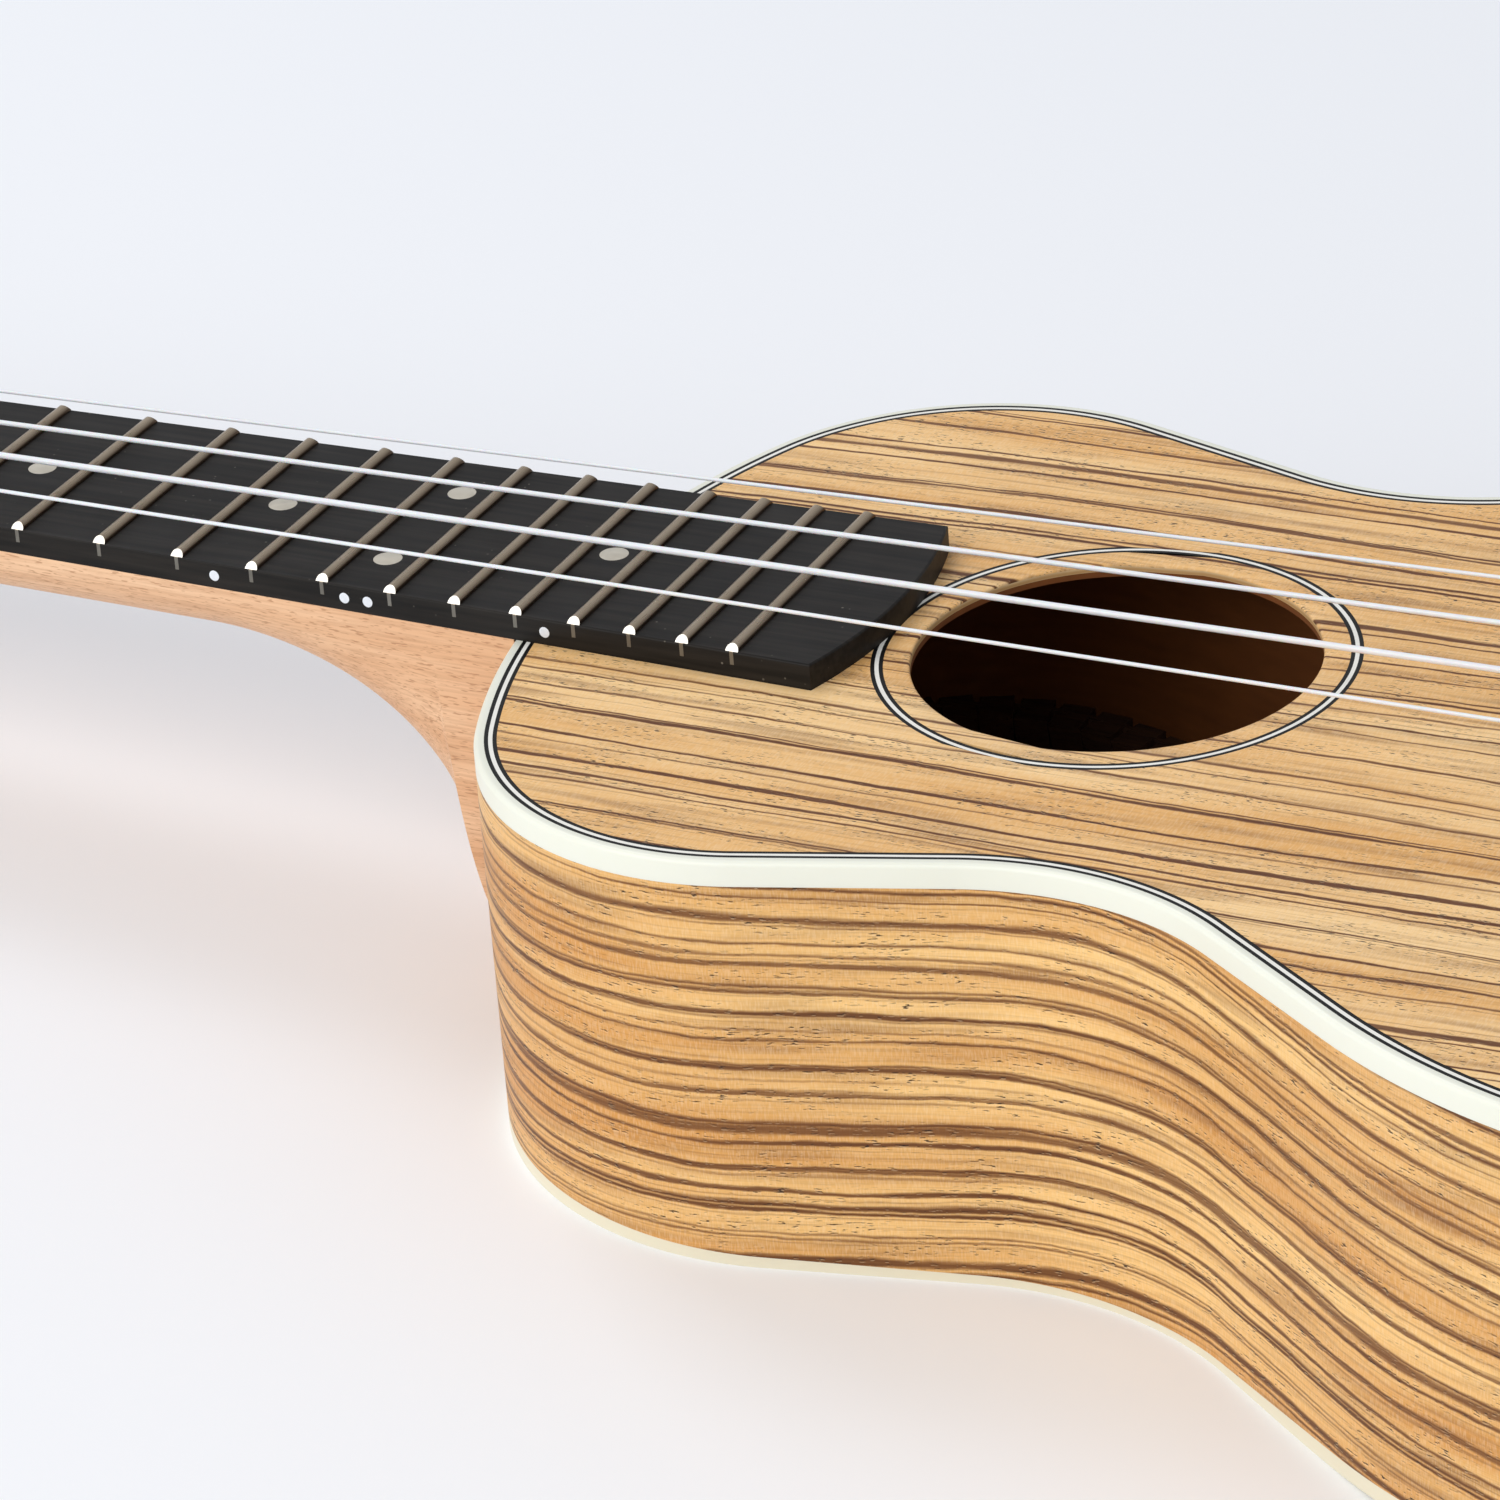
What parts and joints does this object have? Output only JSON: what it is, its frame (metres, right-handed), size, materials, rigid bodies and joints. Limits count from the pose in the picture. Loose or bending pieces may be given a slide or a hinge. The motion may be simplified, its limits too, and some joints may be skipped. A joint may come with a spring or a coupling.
{
  "type": "concert ukulele",
  "caption": "Figure-eight wooden ukulele with bound edges, round soundhole, fretted neck, tie bridge and open-gear tuners whose knobs turn worm-driven string posts.",
  "frame": {"origin": "centre of the instrument's box in X and Y, on the underside of the lower bout", "axes": "+X towards the tail, -X towards the headstock, -Y towards the lowest-placed (G) string, +Z out of the soundboard"},
  "size_m": [0.6434, 0.2084, 0.0815],
  "materials": {
    "zebrawood_top": "satin lacquer over dark straight stripes",
    "zebrawood_sides": "satin lacquer over dark straight stripes",
    "cream_binding": "satin",
    "black_line": "satin",
    "white_line": "satin",
    "okoume": "open-pored matt",
    "spruce": "unfinished",
    "blackened_wood": "satin",
    "rosewood": "satin",
    "nickel_silver": "polished crowns",
    "pearl": "pearlescent",
    "white_plastic": "satin",
    "bone": "polished",
    "string_nylon": "satin, translucent white",
    "chrome": "polished",
    "brass": "machined",
    "button_plastic": "pearlescent"
  },
  "bodies": {
    "instrument": {"soundboard": "zebrawood_top", "back_plate": "zebrawood_sides", "side_bass": "zebrawood_sides", "side_treble": "zebrawood_sides", "binding_top": "cream_binding", "binding_back": "cream_binding", "purfling_black": "black_line", "purfling_white": "white_line", "rosette_black": "black_line", "rosette_white": "white_line", "neck_block": "okoume", "tail_block": "okoume", "lining_top": "spruce", "lining_back": "spruce", "top_braces": "spruce", "bridge_plate": "okoume", "back_braces": "spruce", "neck": "okoume", "heel_cap": "cream_binding", "headstock": "okoume", "headstock_veneer": "zebrawood_top", "fretboard": "blackened_wood", "frets": "nickel_silver", "position_dots": "pearl", "side_dots": "white_plastic", "nut": "bone", "bridge": "rosewood", "saddle": "bone", "string_g": "string_nylon", "string_c": "string_nylon", "string_e": "string_nylon", "string_a": "string_nylon", "post_bushings": "chrome", "tuner_plates": "chrome", "tuner_screws": "chrome"},
    "tuner_knob_1": {"worm_1": "chrome", "button_1": "button_plastic"},
    "string_post_1": {"post_1": "chrome", "gear_1": "brass", "gear_screw_1": "chrome", "winding_1": "string_nylon"},
    "tuner_knob_2": {"worm_2": "chrome", "button_2": "button_plastic"},
    "string_post_2": {"post_2": "chrome", "gear_2": "brass", "gear_screw_2": "chrome", "winding_2": "string_nylon"},
    "tuner_knob_3": {"worm_3": "chrome", "button_3": "button_plastic"},
    "string_post_3": {"post_3": "chrome", "gear_3": "brass", "gear_screw_3": "chrome", "winding_3": "string_nylon"},
    "tuner_knob_4": {"worm_4": "chrome", "button_4": "button_plastic"},
    "string_post_4": {"post_4": "chrome", "gear_4": "brass", "gear_screw_4": "chrome", "winding_4": "string_nylon"}
  },
  "joints": [
    {"name": "knob_spin_1", "type": "hinge", "parent": "instrument", "child": "tuner_knob_1", "pos_m": [-0.20652, -0.034, 0.04799], "axis": [0, -1, 0], "continuous": true},
    {"name": "post_spin_1", "type": "hinge", "parent": "instrument", "child": "string_post_1", "pos_m": [-0.21902, -0.0185, 0.06363], "axis": [-0.1564, 0, 0.9877], "continuous": true},
    {"name": "knob_spin_2", "type": "hinge", "parent": "instrument", "child": "tuner_knob_2", "pos_m": [-0.25196, -0.034, 0.0408], "axis": [0, -1, 0], "continuous": true},
    {"name": "post_spin_2", "type": "hinge", "parent": "instrument", "child": "string_post_2", "pos_m": [-0.26446, -0.0185, 0.05643], "axis": [-0.1564, 0, 0.9877], "continuous": true},
    {"name": "knob_spin_3", "type": "hinge", "parent": "instrument", "child": "tuner_knob_3", "pos_m": [-0.27151, 0.034, 0.0377], "axis": [0, 1, 0], "continuous": true},
    {"name": "post_spin_3", "type": "hinge", "parent": "instrument", "child": "string_post_3", "pos_m": [-0.26446, 0.0185, 0.05643], "axis": [-0.1564, 0, 0.9877], "continuous": true},
    {"name": "knob_spin_4", "type": "hinge", "parent": "instrument", "child": "tuner_knob_4", "pos_m": [-0.22608, 0.034, 0.04489], "axis": [0, 1, 0], "continuous": true},
    {"name": "post_spin_4", "type": "hinge", "parent": "instrument", "child": "string_post_4", "pos_m": [-0.21902, 0.0185, 0.06363], "axis": [-0.1564, 0, 0.9877], "continuous": true}
  ],
  "couplings": [
    {"joint": "post_spin_1", "follows": "knob_spin_1", "ratio": -0.071429},
    {"joint": "post_spin_2", "follows": "knob_spin_2", "ratio": -0.071429},
    {"joint": "post_spin_3", "follows": "knob_spin_3", "ratio": -0.071429},
    {"joint": "post_spin_4", "follows": "knob_spin_4", "ratio": -0.071429}
  ]
}
